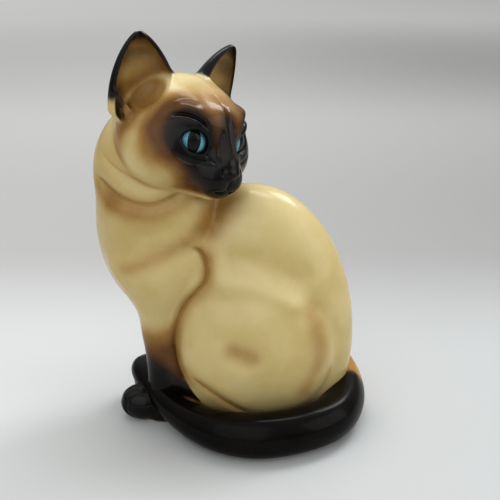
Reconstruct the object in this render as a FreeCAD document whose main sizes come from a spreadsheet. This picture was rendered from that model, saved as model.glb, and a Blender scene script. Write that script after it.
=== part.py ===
import FreeCAD, Part

import os

# A hollow, slip-cast and glazed figurine of a seated cat that turns its head over its left side.
# Millimetres and degrees. -X is the chest, +X the rump, -Y the cat's left flank, +Z up.
#
# The trunk and limbs are drawn in the cat's own frame, with the middle plane of the trunk at Y = 0
# and the table at Z = 0. The head, ears and eyes are drawn in a head frame: X forward through the
# nose, Y towards the cat's left ear, Z up. Each finished piece is then placed so that the origin is
# under the middle of the figurine's box.
#
# Pieces that the potter lutes together meet in sockets with a slip-filled gap between them.

LEFT, RIGHT = -1, 1          # side of the trunk along Y
HEAD_LEFT, HEAD_RIGHT = 1, -1  # side of the head along its own Y

DIMENSIONS = {
    # where the cat's frame stands, measured from the origin
    "stand_x": -3.63, "stand_y": 12.5,
    # clay thickness, slip-filled gap of a luted joint, and the solid sole of the trunk
    "wall": 4.0, "slip_gap": 0.2, "sole": 8.0,
    # top of the hollow in the trunk, under the neck
    "hollow_top": 144.0,
    # foreleg: a tapered column with a domed tenon that enters the trunk
    "foreleg_x": -43.0, "foreleg_y": 15.0, "foreleg_tall": 84.0,
    "foreleg_ankle": 10.5, "foreleg_top": 14.2,
    # the ball at the tail's tip is a little fuller than the roll behind it
    "tip_swell": 0.3,
    # pour opening in the sole, closed by a disc with a vent hole
    "disc_x": 16.0, "disc_radius": 24.0, "disc_thick": 4.0, "disc_set_in": 0.8,
    "pour_radius": 20.0, "vent_radius": 4.0,
    # head frame: place and turn on the trunk
    "head_x": -26.0, "head_y": -7.0, "head_z": 188.4,
    "head_yaw": -46.8, "head_pitch": 1.9, "head_roll": -9.0,
    # spigot under the head, which drops into the neck
    "spigot_x": -12.0, "spigot_y": -4.0, "spigot_top": -22.0, "spigot_tall": 32.0,
    "spigot_radius": 15.0, "spigot_bore": 11.0,
    # eye lens: a cap cut from a ball, set in a flared socket
    "eye_x": 22.5, "eye_y": 16.5, "eye_z": 1.0, "eye_radius": 9.6,
    "eye_cap": 20.0, "eye_turn": 35.0, "eye_lift": 6.0, "eye_flare": 10.8, "eye_deep": 14.0,
    # ear: a cupped cone, wide across and shallow from front to back
    "ear_x": -10.0, "ear_y": 24.0, "ear_z": 16.0, "ear_tall": 44.0,
    "ear_wide": 22.5, "ear_shallow": 13.0, "ear_skin": 2.2,
    "ear_turn": 14.0, "ear_splay": 18.0, "ear_rake": 4.0,
}

# Ellipsoid masses: centre x, y, z, then half sizes along X, Y and Z, then how far the +X end dips.
# A paired mass is given for the side with positive Y.
MASSES = {
    "rump": (13.5, 0, 55, 68.5, 43, 101, 0),
    "chest": (-43, 0, 133, 40.5, 34, 62, 0),
    "neck": (-46, 2, 163, 38, 32, 46, 0),
    "shoulder": (-38, 20, 128, 34, 19, 34, 0),
    "upper_arm": (-38, 20, 96, 27, 18, 31, 0),
    "thigh": (17, 24, 54, 50, 27, 50, 0),
    "left_paw": (-57, -14, 10.5, 15, 12.5, 12, 0),
    "right_paw": (-53, 15, 12.5, 14, 12, 14, 0),
    "hind_foot": (-20, 29, 8, 18, 10, 9, 0),
    "cranium": (-6, 0, 3, 39, 37, 33, 0),
    "cheek": (-2, 17, -8, 33, 24, 23, 0),
    "muzzle": (23, 0, -8, 28, 17, 14, 24),
    "jaw": (16, 0, -19, 24, 15, 11, 14),
    "whisker_pad": (38.5, 6, -20, 9.5, 8, 8, 0),
    "nose": (46.5, 0, -13.5, 4, 5.4, 4, 0),
    "head_hollow": (-9, 0, 3.5, 31, 31, 28, 0),
}
TRUNK = ("rump", "chest", "neck")
TRUNK_PAIRS = ("shoulder", "upper_arm", "thigh")
HEAD = ("cranium", "muzzle", "jaw", "nose")
HEAD_PAIRS = ("cheek", "whisker_pad")

# The tail's middle line and radius: from its tenon in the rump, round the left flank close to the
# table, and up over the forepaws to the tip.
TAIL = (
    (50, 27, 36, 11), (66, 26, 26, 15), (75, 8, 16, 15.3), (75, -18, 14, 14.5), (66, -40, 13.4, 14),
    (48, -54, 13.4, 14), (22, -62, 13.4, 14), (0, -58.5, 12.9, 13), (-18, -47, 12.6, 11.5),
    (-34, -31, 14, 9.5), (-47, -15, 18.5, 8.5), (-57, -2, 23, 7.5), (-61, 9, 24, 6.5),
    (-59, 20, 22.5, 5.5),
)

# Ear sections: height up the ear as a part of its own height. The hollow stops short of the tip.
EAR_SECTIONS = (-0.35, 0, 0.25, 0.5, 0.75, 0.95)
EAR_HOLLOW_SECTIONS = (-0.05, 0.2, 0.4, 0.6, 0.78)
EAR_TAPER = 0.66             # power of the ear's narrowing towards the tip
EAR_HOLLOW_FORWARD = 0.62    # how far the hollow sits in front of the ear's middle
EAR_HOLLOW_DEEP = 1.25       # depth of the hollow against the ear's own

ROOM = 400.0                 # larger than the figurine, for trimming boxes

HEAD_TURN = "rotation(Sizes.head_yaw; Sizes.head_pitch; Sizes.head_roll)"
HEAD_ON_TRUNK = f"placement(vector(Sizes.head_x; Sizes.head_y; Sizes.head_z); {HEAD_TURN})"
HEAD_STANDING = ("placement(vector(Sizes.head_x + Sizes.stand_x; Sizes.head_y + Sizes.stand_y; "
                 f"Sizes.head_z); {HEAD_TURN})")
CAT_STANDING = "placement(vector(Sizes.stand_x; Sizes.stand_y; 0); rotation(0; 0; 0))"

doc = FreeCAD.newDocument("CatFigurine")


def make_sheet():
    """The driving dimensions, one aliased cell each."""
    cells = dict(DIMENSIONS)
    for name, sizes in MASSES.items():
        for suffix, size in zip(("x", "y", "z", "long", "wide", "tall", "dip"), sizes):
            cells[f"{name}_{suffix}"] = size
    for number, station in enumerate(TAIL):
        for suffix, size in zip(("x", "y", "z", "radius"), station):
            cells[f"tail_{number}_{suffix}"] = size
    sheet = doc.addObject("Spreadsheet::Sheet", "Sizes")
    for row, (alias, size) in enumerate(cells.items(), start=1):
        sheet.set(f"A{row}", alias)
        sheet.set(f"B{row}", str(size))
        sheet.setAlias(f"B{row}", alias)
    doc.recompute()
    return sheet


def bind(thing, **expressions):
    """Bind properties of an object to the sheet; a double underscore stands for a dot."""
    for name, expression in expressions.items():
        thing.setExpression(name.replace("__", "."), expression)
    return thing


def fuse(name, pieces):
    joined = doc.addObject("Part::MultiFuse", name)
    joined.Shapes = pieces
    return joined


def common(name, pieces):
    shared = doc.addObject("Part::MultiCommon", name)
    shared.Shapes = pieces
    return shared


def cut(name, base, tools):
    rest = doc.addObject("Part::Cut", name)
    rest.Base = base
    rest.Tool = tools[0] if len(tools) == 1 else fuse(name + "_tools", tools)
    return rest


def mass(name, side=1, grow="0"):
    """One ellipsoid mass; side mirrors it across the middle plane, grow adds to its half sizes."""
    body = doc.addObject("Part::Ellipsoid", name)
    return bind(
        body,
        Radius2=f"Sizes.{name}_long + {grow}",
        Radius3=f"Sizes.{name}_wide + {grow}",
        Radius1=f"Sizes.{name}_tall + {grow}",
        Placement=(f"placement(vector(Sizes.{name}_x; {side} * Sizes.{name}_y; Sizes.{name}_z); "
                   f"rotation(0; Sizes.{name}_dip; 0))"),
    )


def masses(singles, pairs, grow="0"):
    return [mass(name, 1, grow) for name in singles] + [
        mass(name, side, grow) for name in pairs for side in (LEFT, RIGHT)]


def slab(name, low, high):
    """A wide box between two heights, for trimming."""
    box = doc.addObject("Part::Box", name)
    box.Length = box.Width = ROOM
    box.Placement.Base = FreeCAD.Vector(-ROOM / 2, -ROOM / 2, 0)
    return bind(box, Placement__Base__z=low, Height=f"{high} - ({low})")


def cylinder(name, radius, low, high, x="0", y="0"):
    round_bar = doc.addObject("Part::Cylinder", name)
    return bind(round_bar, Radius=radius, Height=f"{high} - ({low})",
                Placement__Base__x=x, Placement__Base__y=y, Placement__Base__z=low)


def foreleg(name, side, paw, grow="0"):
    """Tapered column, domed tenon and paw; the column starts below the table and is trimmed."""
    place_y = f"{side} * Sizes.foreleg_y"
    column = bind(
        doc.addObject("Part::Cone", name + "_column"),
        Radius1=f"Sizes.foreleg_ankle + {grow}", Radius2=f"Sizes.foreleg_top + {grow}",
        Height="Sizes.foreleg_tall + Sizes.wall", Placement__Base__x="Sizes.foreleg_x",
        Placement__Base__y=place_y, Placement__Base__z="-Sizes.wall")
    dome = bind(
        doc.addObject("Part::Sphere", name + "_dome"), Radius=f"Sizes.foreleg_top + {grow}",
        Placement__Base__x="Sizes.foreleg_x", Placement__Base__y=place_y,
        Placement__Base__z="Sizes.foreleg_tall")
    return fuse(name, [column, dome, mass(paw, 1, grow)])


def tail_direction(number):
    """Direction of the tail's middle line at one station, from the stations beside it."""
    before = TAIL[max(number - 1, 0)]
    after = TAIL[min(number + 1, len(TAIL) - 1)]
    return FreeCAD.Vector(*[b - a for a, b in zip(before[:3], after[:3])])


def tail(name, grow="0"):
    """Round sections lofted along the middle line, with a ball at the tip."""
    sections = []
    up = FreeCAD.Vector(0, 0, 1)
    for number in range(len(TAIL)):
        along = tail_direction(number)
        ring = doc.addObject("Part::Circle", f"{name}_ring")
        ring.Placement.Rotation = FreeCAD.Rotation(up.cross(along), up, along, "ZXY")
        bind(ring, Radius=f"Sizes.tail_{number}_radius + {grow}",
             Placement__Base__x=f"Sizes.tail_{number}_x",
             Placement__Base__y=f"Sizes.tail_{number}_y",
             Placement__Base__z=f"Sizes.tail_{number}_z")
        sections.append(ring)
    loft = doc.addObject("Part::Loft", name + "_loft")
    loft.Sections = sections
    loft.Solid = True
    last = f"Sizes.tail_{len(TAIL) - 1}"
    tip = bind(doc.addObject("Part::Sphere", name + "_tip"),
               Radius=f"{last}_radius + Sizes.tip_swell + {grow}",
               Placement__Base__x=f"{last}_x", Placement__Base__y=f"{last}_y",
               Placement__Base__z=f"{last}_z")
    return fuse(name, [loft, tip])


def eye_axis(side):
    """Rotation that turns +Z to the way an eye looks."""
    return f"rotation({side} * Sizes.eye_turn; 90 - Sizes.eye_lift; 0)"


def eye_place(side):
    return f"placement(vector(Sizes.eye_x; {side} * Sizes.eye_y; Sizes.eye_z); {eye_axis(side)})"


def eye_lens(name, side):
    cap = doc.addObject("Part::Sphere", name)
    return bind(cap, Radius="Sizes.eye_radius", Angle1="Sizes.eye_cap",
                Placement=f"{HEAD_STANDING} * {eye_place(side)}")


def eye_socket(side):
    """Straight throat around the lens and a flared opening in front, one slip gap wider."""
    radius = "Sizes.eye_radius * cos(Sizes.eye_cap) + Sizes.slip_gap"
    base = "Sizes.eye_radius * sin(Sizes.eye_cap) - Sizes.slip_gap"
    throat = cylinder("eye_throat", radius, base, "Sizes.eye_radius")
    flare = bind(doc.addObject("Part::Cone", "eye_flare"), Radius1=radius,
                 Radius2="Sizes.eye_flare", Height="Sizes.eye_deep", Placement__Base__z=base)
    return bind(fuse("eye_socket", [throat, flare]), Placement=eye_place(side))


def ear_loft(name, stations, skin, deep, forward):
    """Elliptical sections from the root of the ear to its tip, narrowing as a power curve."""
    sections = []
    for station in stations:
        taper = f"({1 - max(station, 0)})^{EAR_TAPER}"
        ring = bind(
            doc.addObject("Part::Ellipse", name + "_section"),
            MajorRadius=f"Sizes.ear_wide * {taper} - {skin}",
            MinorRadius=f"Sizes.ear_shallow * {taper} * {deep}",
            Placement__Base__x=f"Sizes.ear_shallow * {taper} * {forward}",
            Placement__Base__z=f"Sizes.ear_tall * {station}")
        ring.Placement.Rotation = FreeCAD.Rotation(FreeCAD.Vector(0, 0, 1), 90)
        sections.append(ring)
    loft = doc.addObject("Part::Loft", name)
    loft.Sections = sections
    loft.Solid = True
    return loft


def ear(name, side, seat):
    """A cupped ear that ends on the head's surface."""
    cup = cut(name + "_cup", ear_loft(name + "_outer", EAR_SECTIONS, "0", 1, 0),
              [ear_loft(name + "_hollow", EAR_HOLLOW_SECTIONS, "Sizes.ear_skin",
                        EAR_HOLLOW_DEEP, EAR_HOLLOW_FORWARD)])
    bind(cup, Placement=(
        f"placement(vector(Sizes.ear_x; {side} * Sizes.ear_y; Sizes.ear_z); "
        f"rotation({side} * Sizes.ear_turn; Sizes.ear_rake; {-side} * Sizes.ear_splay))"))
    return cut(name, cup, [seat])


def build():
    make_sheet()
    gap = "Sizes.slip_gap"
    guard = "(Sizes.slip_gap + Sizes.wall)"
    above_table = slab("above_table", "0", str(ROOM))

    # head, ears and eyes in the head frame
    head_mass = fuse("head_mass", masses(HEAD, HEAD_PAIRS))
    head_seat = fuse("head_seat", masses(HEAD, HEAD_PAIRS, gap))
    spigot_low = "Sizes.spigot_top - Sizes.spigot_tall"
    spigot = cylinder("spigot", "Sizes.spigot_radius", spigot_low, "Sizes.spigot_top",
                      "Sizes.spigot_x", "Sizes.spigot_y")
    bore = cylinder("spigot_bore", "Sizes.spigot_bore", spigot_low + " - Sizes.wall",
                    "Sizes.head_hollow_z", "Sizes.spigot_x", "Sizes.spigot_y")
    head_shell = cut("head_shell", fuse("head_with_spigot", [head_mass, spigot]),
                     [mass("head_hollow"), bore, eye_socket(HEAD_LEFT), eye_socket(HEAD_RIGHT)])
    ears = [ear("left_ear", HEAD_LEFT, head_seat), ear("right_ear", HEAD_RIGHT, head_seat)]
    eyes = [eye_lens("left_eye", HEAD_LEFT), eye_lens("right_eye", HEAD_RIGHT)]

    # what the head takes out of the trunk
    neck_hole = cylinder("neck_hole", f"Sizes.spigot_radius + {gap}", spigot_low + " - Sizes.wall",
                         "Sizes.spigot_top", "Sizes.spigot_x", "Sizes.spigot_y")
    head_room = fuse("head_room", [head_seat, neck_hole])
    bind(head_room, Placement=HEAD_ON_TRUNK)

    # limbs and tail
    paws = {LEFT: "left_paw", RIGHT: "right_paw"}
    sides = {LEFT: "left", RIGHT: "right"}
    tail_room = tail("tail_room", gap)
    legs = {side: cut(
        f"{sides[side]}_foreleg",
        common("standing_leg", [foreleg("leg", side, paws[side]), above_table]),
        [tail_room]) for side in sides}
    leg_rooms = {side: foreleg("leg_room", side, paws[side], gap) for side in sides}
    feet = {side: cut(
        f"{sides[side]}_hind_foot",
        common("standing_foot", [mass("hind_foot", side), above_table]),
        [leg_rooms[side], tail_room]) for side in sides}
    foot_rooms = [mass("hind_foot", side, gap) for side in sides]
    tail_piece = common("tail", [tail("whole_tail"), above_table])

    # hollow trunk
    guards = [foreleg("leg_guard", side, paws[side], guard) for side in sides]
    guards += [mass("hind_foot", side, guard) for side in sides]
    guards.append(tail("tail_guard", guard))
    hollow = common("hollow", [
        fuse("hollow_mass", masses(TRUNK, TRUNK_PAIRS, "(0 - Sizes.wall)")),
        slab("hollow_room", "Sizes.sole", "Sizes.hollow_top")])
    hollow = cut("guarded_hollow", hollow, guards)
    disc_top = "(Sizes.disc_set_in + Sizes.disc_thick)"
    pour = cylinder("pour_opening", "Sizes.pour_radius", "-Sizes.wall",
                    "Sizes.sole + Sizes.wall", "Sizes.disc_x")
    recess = cylinder("disc_recess", f"Sizes.disc_radius + {gap}", "-Sizes.wall",
                      f"{disc_top} + {gap}", "Sizes.disc_x")
    trunk = common("standing_trunk", [
        fuse("trunk_mass", masses(TRUNK, TRUNK_PAIRS)), above_table])
    body_shell = cut("body_shell", cut("trunk_with_sockets", trunk, [
        head_room, tail_room, *leg_rooms.values(), *foot_rooms, pour, recess]), [hollow])

    base_plate = cut(
        "base_plate",
        cylinder("disc", "Sizes.disc_radius", "Sizes.disc_set_in", disc_top, "Sizes.disc_x"),
        [cylinder("vent", "Sizes.vent_radius", "0", disc_top + " + Sizes.wall", "Sizes.disc_x")])

    for piece in (head_shell, *ears):
        bind(piece, Placement=HEAD_STANDING)
    trunk_pieces = [body_shell, base_plate, *legs.values(), *feet.values(), tail_piece]
    for piece in trunk_pieces:
        bind(piece, Placement=CAT_STANDING)
    doc.recompute()
    return [head_shell, *ears, *eyes, *trunk_pieces]


def check(pieces):
    for thing in doc.Objects:
        if "Invalid" in thing.State or "Error" in thing.State:
            raise RuntimeError(f"{thing.Label} did not compute: {thing.State}")
    for piece in pieces:
        if piece.Shape.isNull() or not piece.Shape.isValid():
            raise RuntimeError(f"{piece.Label} has no valid shape")
        if len(piece.Shape.Solids) != 1:
            raise RuntimeError(f"{piece.Label} is {len(piece.Shape.Solids)} solids")


def write(pieces):
    os.makedirs("parts", exist_ok=True)
    for piece in pieces:
        piece.Shape.exportStep(os.path.join("parts", piece.Label + ".step"))
        print(f"{piece.Label}: {piece.Shape.Volume / 1000:.1f} cm3")


figurine = build()
check(figurine)
write(figurine)
box = FreeCAD.BoundBox()
for part in figurine:
    box.add(part.Shape.optimalBoundingBox())
print("box", box)
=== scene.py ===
"""A glazed ceramic Siamese cat: sitting, head turned over the near shoulder, tail wrapped round the feet.

The cat is sculpted as distance fields, in millimetres in its own frame, and meshed. The frame's axes are
the CAD's; base_plate says where its origin lies. X runs from chest to rump, -Y is the cat's left.
"""

import bpy
import numpy as np
import openvdb
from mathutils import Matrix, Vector


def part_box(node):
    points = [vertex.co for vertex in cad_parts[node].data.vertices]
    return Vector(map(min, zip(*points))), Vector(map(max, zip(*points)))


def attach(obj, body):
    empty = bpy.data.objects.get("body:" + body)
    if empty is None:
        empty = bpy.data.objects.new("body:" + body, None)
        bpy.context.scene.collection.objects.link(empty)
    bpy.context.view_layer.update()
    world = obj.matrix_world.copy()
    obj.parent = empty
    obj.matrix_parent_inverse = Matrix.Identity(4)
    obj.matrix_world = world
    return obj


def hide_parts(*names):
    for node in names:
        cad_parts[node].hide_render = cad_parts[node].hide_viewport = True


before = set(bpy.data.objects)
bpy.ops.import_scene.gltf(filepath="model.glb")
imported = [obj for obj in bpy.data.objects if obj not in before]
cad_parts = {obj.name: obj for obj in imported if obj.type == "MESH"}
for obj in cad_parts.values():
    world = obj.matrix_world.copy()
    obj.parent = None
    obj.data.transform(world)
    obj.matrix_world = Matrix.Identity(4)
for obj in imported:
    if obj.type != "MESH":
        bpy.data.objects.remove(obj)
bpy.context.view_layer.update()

MM = 0.001
FINENESS = 1.0     # cell sizes are multiplied by this
BODY_CELL, HEAD_CELL = 0.95*FINENESS, 0.48*FINENESS

PLATE_LO, PLATE_HI = (np.array(corner)/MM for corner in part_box("base_plate"))
PLATE = np.array([16.0, 0.0])             # centre of the base plate in the cat's frame
PLATE_RADIUS = (PLATE_HI[0]-PLATE_LO[0])/2
PLATE_GAP = 0.3
SHIFT = np.array([*((PLATE_LO+PLATE_HI)/2)[:2]-PLATE, 0.0])


# ---------------------------------------------------------------- distance fields
def vec(*a):
    return np.array(a, float)


def unit(v):
    return v/np.linalg.norm(v)


def blend_min(a, b, k):
    """Union with a soft fillet k wide."""
    h = np.maximum(k-np.abs(a-b), 0)/k
    return np.minimum(a, b)-h*h*h*k/6


def blend_max(a, b, k):
    """Intersection with a soft edge k wide."""
    return -blend_min(-a, -b, k)


def ease(x, lo, hi):
    """Smooth step from 0 at lo to 1 at hi."""
    t = np.clip((x-lo)/(hi-lo), 0, 1)
    return t*t*(3-2*t)


def ellipsoid(P, centre, radii, axes=None):
    q = P-np.asarray(centre, float)
    if axes is not None:
        q = q@axes.T
    q = q/np.asarray(radii, float)
    k0 = np.sqrt((q*q).sum(1))+1e-9
    q = q/np.asarray(radii, float)
    return k0*(k0-1)/(np.sqrt((q*q).sum(1))+1e-9)


def ellipse(u, v, a, b):
    k0 = np.sqrt((u/a)**2+(v/b)**2)+1e-9
    k1 = np.sqrt((u/(a*a))**2+(v/(b*b))**2)+1e-9
    return k0*(k0-1)/k1


def capsule(P, a, b, ra, rb):
    """A rounded cone from a to b."""
    a, b = np.asarray(a, float), np.asarray(b, float)
    ab = b-a
    t = np.clip(((P-a)@ab)/(ab@ab), 0, 1)
    return np.linalg.norm(P-a-t[:, None]*ab, axis=1)-(ra+(rb-ra)*t)


def rotation(x=0, y=0, z=0):
    x, y, z = np.radians([x, y, z])
    about_x = np.array([[1, 0, 0], [0, np.cos(x), -np.sin(x)], [0, np.sin(x), np.cos(x)]])
    about_y = np.array([[np.cos(y), 0, np.sin(y)], [0, 1, 0], [-np.sin(y), 0, np.cos(y)]])
    about_z = np.array([[np.cos(z), -np.sin(z), 0], [np.sin(z), np.cos(z), 0], [0, 0, 1]])
    return (about_z@about_y@about_x).T


def mirrored(P):
    """The points with the -Y half folded onto the +Y half."""
    return np.stack([P[:, 0], np.abs(P[:, 1]), P[:, 2]], 1)


def spline(points, steps):
    """Catmull-Rom curve through the points."""
    points = np.asarray(points, float)
    ext = np.vstack([2*points[0]-points[1], points, 2*points[-1]-points[-2]])
    t = np.linspace(0, 1, steps, endpoint=False)[:, None]
    out = [0.5*((2*p1)+(-p0+p2)*t+(2*p0-5*p1+4*p2-p3)*t*t+(-p0+3*p1-3*p2+p3)*t**3)
           for p0, p1, p2, p3 in zip(ext, ext[1:], ext[2:], ext[3:])]
    return np.vstack(out+[points[-1:]])


def near_path(u, v, path, reach):
    """Distance to a 2-D path, negative on its right, and the place along it, 0 to 1; far points get reach."""
    dist, place = np.full(len(u), float(reach)), np.zeros(len(u))
    lo, hi = path.min(0)-reach, path.max(0)+reach
    close = np.where((u > lo[0]) & (u < hi[0]) & (v > lo[1]) & (v < hi[1]))[0]
    if len(close) == 0:
        return dist, place
    q = np.stack([u[close], v[close]], 1)
    best, where, side = np.full(len(close), float(reach)**2), np.zeros(len(close)), np.ones(len(close))
    for i, (a, b) in enumerate(zip(path, path[1:])):
        ab = b-a
        t = np.clip(((q-a)@ab)/(ab@ab), 0, 1)
        gap = q-a-t[:, None]*ab
        square = (gap*gap).sum(1)
        nearer = square < best
        best[nearer] = square[nearer]
        where[nearer] = (i+t[nearer])/(len(path)-1)
        side[nearer] = np.where(ab[0]*gap[:, 1]-ab[1]*gap[:, 0] < 0, -1.0, 1.0)[nearer]
    dist[close], place[close] = np.sqrt(best)*side, where
    return dist, place


CURVE_STEPS = 6                           # pieces of curve between two points of a stroke


def stroke(u, v, points, height, width, fade):
    """Relief of one modelling stroke: a rounded ridge (height > 0) or groove along a curve.

    It fades over that fraction of its length at both ends; with fade 0 it ends round.
    """
    d, t = near_path(u, v, spline(points, CURVE_STEPS), 3.0*width)
    ends = ease(t, 0, fade)*ease(1-t, 0, fade) if fade > 0 else 1.0
    return height*(np.exp(-(d/width)**2)-np.exp(-9.0))*ends


def fold(u, v, points, depth, width, fade, left=0.0, right=0.0):
    """Relief of a crease where two rounded masses meet, swelling by left and right on either side of it."""
    d, t = near_path(u, v, spline(points, CURVE_STEPS), 3.2*width)
    ends = ease(t, 0, fade)*ease(1-t, 0, fade)
    off = np.abs(d)/width
    swell = ease(off, 0, 1.1)*(1-ease(off, 1.1, 3.2))*np.where(d > 0, left, right)
    return (swell-depth*np.maximum(1-off, 0)**2)*ends


# ---------------------------------------------------------------- head
HEAD = vec(-26, -7, 188.4)


def head_axes(yaw, pitch, roll):
    """The head's forward, left and up directions, as rows."""
    yaw, pitch, roll = np.radians([yaw, pitch, roll])
    forward, left, up = vec(np.sin(yaw), -np.cos(yaw), 0), vec(np.cos(yaw), np.sin(yaw), 0), vec(0, 0, 1)
    nose = forward*np.cos(pitch)-up*np.sin(pitch)
    crown = up*np.cos(pitch)+forward*np.sin(pitch)
    return np.array([nose, left*np.cos(roll)-crown*np.sin(roll), crown*np.cos(roll)+left*np.sin(roll)])


HEAD_AXES = head_axes(45.2, 4.4, 9.0)

# each eye is a ball behind almond lids; the opening is where two discs overlap, seen along the eye's axis
EYE_AXIS = unit(vec(0.80, 0.56, 0.10))
EYE_UP = unit(vec(0, 0, 1)-EYE_AXIS*EYE_AXIS[2])
EYE_NOSE = np.cross(EYE_AXIS, EYE_UP)
EYE_R = 10.6
EYE_C = vec(30.2, 21.3, 2.2)-EYE_AXIS*EYE_R
UPPER_LID = (1.7, -1.9, 8.5)              # each disc's centre towards the nose and up, and its radius
LOWER_LID = (3.6, 3.0, 10.6)
LID_RISE, LID_REACH = 0.8, 3.0            # how far the lids stand off the ball and spread round the opening
SOCKET_DEPTH = 3.0                        # along the eye's axis from the middle of the ball
RIM_RADIUS = 0.7
OPEN_EDGE = 0.6                           # rounding of the opening's corners and edge


def to_head(P):
    return (P-HEAD)@HEAD_AXES.T


def eye_plane(m):
    """Towards the nose, up, and out along the eye's axis."""
    q = m-EYE_C
    return q@EYE_NOSE, q@EYE_UP, q@EYE_AXIS


def lid_opening(a, b):
    """Negative inside the almond between the lids."""
    upper = np.hypot(a-UPPER_LID[0], b-UPPER_LID[1])-UPPER_LID[2]
    lower = np.hypot(a-LOWER_LID[0], b-LOWER_LID[1])-LOWER_LID[2]
    return blend_max(upper, lower, OPEN_EDGE)


def skull_mass(q, m):
    """The head's masses before any detail, from points as they are and mirrored."""
    d = ellipsoid(q, (-6, 0, 3), (39, 37, 33))                                          # cranium
    d = blend_min(d, ellipsoid(m, (19.5, 9.5, 10.5), (15.5, 14.5, 12)), 14)             # brow
    d = blend_min(d, ellipsoid(m, (14, 21, -4), (13.5, 13, 15)), 8)                     # cheekbone
    d = blend_min(d, ellipsoid(m, (-2, 17, -8), (33, 24, 23), rotation(0, 12, 8)), 10)  # cheek
    d = blend_min(d, capsule(m, (4, 18, -5), (31, 7.5, -16.5), 19, 9.5), 8)             # side of the face
    d = blend_min(d, capsule(m, (0, 12, -19), (30, 3, -25), 15, 7.5), 8)                # jaw
    d = blend_min(d, capsule(q, (8, 0, 0), (35, 0, -13.5), 20, 10.5), 12)               # muzzle
    d = blend_min(d, capsule(q, (25.5, 0, 12), (41.5, 0, -10.5), 9.5, 4.8), 9)          # nose bridge
    d = blend_min(d, ellipsoid(m, (34.5, 5.6, -19.6), (10.5, 8.8, 8.0)), 7)             # whisker pad
    return blend_min(d, ellipsoid(q, (34, 0, -25.5), (8.5, 6.5, 5)), 6)                 # chin


def face_relief(m):
    """Modelling round one eye, in the eye's plane: brow pad and the fold above it, lids and tear line."""
    a, b, c = eye_plane(m)
    r = stroke(a, b, [(-15, 15), (-10, 18), (-4, 18.8), (1, 17.4), (5, 14.5)], 1.7, 2.8, 0.4)      # brow pad
    r += fold(a, b, [(-18, 16), (-12, 21.5), (-4, 23), (4, 21)], 0.5, 3.0, 0.4)                    # above it
    r += fold(a, b, [(-18, 10), (-9, 13.4), (-1.5, 13.4), (6.5, 10), (11, 3)],
              1.7, 2.6, 0.3, left=0.2, right=0.4)                                                  # upper lid
    r += fold(a, b, [(9.0, -6.5), (13, -10), (17.5, -12.5)], 1.0, 2.2, 0.4)                        # tear line
    r += fold(a, b, [(-12, -5), (-6, -10.5), (2, -12.8), (10, -11.5), (15, -13)], 0.7, 2.6, 0.35)  # lower lid
    return r*ease(c, 0, 6)


def muzzle_relief(m):
    """Nose edge, nostrils, philtrum and mouth, seen from the front."""
    u, v, w = m.T
    r = stroke(v, w, [(3.0, 15), (2.8, 5), (3.0, -3), (4.6, -9.5)], 0.8, 1.3, 0.3)      # edge of the bridge
    r += fold(v, w, [(5.6, 12), (5.8, 4), (6.6, -4), (8.4, -9)], 0.9, 2.6, 0.35)        # beside it
    r += fold(v, w, [(0, 26), (0, 19), (0, 10)], 1.1, 2.6, 0.45)                        # forehead groove
    r += fold(v, w, [(5.2, -10.4), (6.9, -13.0), (6.6, -16)], 1.5, 1.6, 0.3)            # side of the leather
    r += stroke(v, w, [(2.4, -17.0), (4.0, -16.2), (5.6, -15.0)], -1.5, 0.9, 0.25)      # nostril
    r += fold(v, w, [(0, -16.5), (0, -20), (0, -24.5)], 1.3, 1.3, 0.1)                  # philtrum
    r += fold(v, w, [(-0.2, -24), (2.6, -25.8), (5.8, -26), (9, -25)], 1.3, 1.4, 0.3)   # mouth
    return r*ease(u, 26, 34)


def skull(q, m):
    """The head without its ears, with lids that stand round open sockets."""
    d = skull_mass(q, m)-face_relief(m)-muzzle_relief(m)
    leather = ellipsoid(q, (44.0, 0, -14.4), (4.6, 6.0, 3.5), rotation(0, -18, 0))
    d = blend_min(d, leather, 2.4)
    a, b, c = eye_plane(m)
    ball = np.linalg.norm(m-EYE_C, axis=1)-EYE_R
    opening = lid_opening(a, b)
    lid = np.maximum(blend_max(ball-LID_RISE, 2.0-c, 1.0), opening-LID_REACH)
    d = blend_min(d, lid, 3.0)
    d = blend_max(d, -np.maximum(opening, SOCKET_DEPTH-c), OPEN_EDGE)
    rim = np.hypot(opening, ball-0.3)-RIM_RADIUS+ease(-c, -4, 0)*6      # kept to the front of the ball
    return blend_min(d, rim, 0.8)


# each ear is a cupped leaf: one ellipse tapering upwards, hollowed by another set forward of it
EAR_BASE, EAR_TIP = vec(-10, 25, 15), vec(-7.2, 38.6, 56.5)
EAR_HEIGHT = np.linalg.norm(EAR_TIP-EAR_BASE)
EAR_UP = (EAR_TIP-EAR_BASE)/EAR_HEIGHT
EAR_TURN = np.radians(16)                 # outwards from straight ahead
EAR_FRONT = vec(np.cos(EAR_TURN), np.sin(EAR_TURN), 0)
EAR_FRONT = unit(EAR_FRONT-EAR_UP*(EAR_FRONT@EAR_UP))
EAR_SIDE = np.cross(EAR_UP, EAR_FRONT)
EAR_WIDTH, EAR_DEPTH = 22.3, 12.5         # halves, at the base
EAR_BOW = 4.0                             # four times how far the middle leans back
EAR_SKIN = 2.3
EAR_FOOT = 14                             # how far the ear goes on below its base, inside the head


def ear_plane(m):
    """Forward, outwards, and up the ear as a fraction of its height."""
    q = m-EAR_BASE
    return q@EAR_FRONT, q@EAR_SIDE, (q@EAR_UP)/EAR_HEIGHT


def ear_section(t):
    """Half width and half depth of the ear at the fraction t of its height; it draws in below its base."""
    up, below = np.clip(t, 0, 0.992), np.clip(-t, 0, 0.4)
    return EAR_WIDTH*(1-up**1.7)**0.70-70*below**1.5, EAR_DEPTH*(1-up)**0.55-14*below, up


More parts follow.
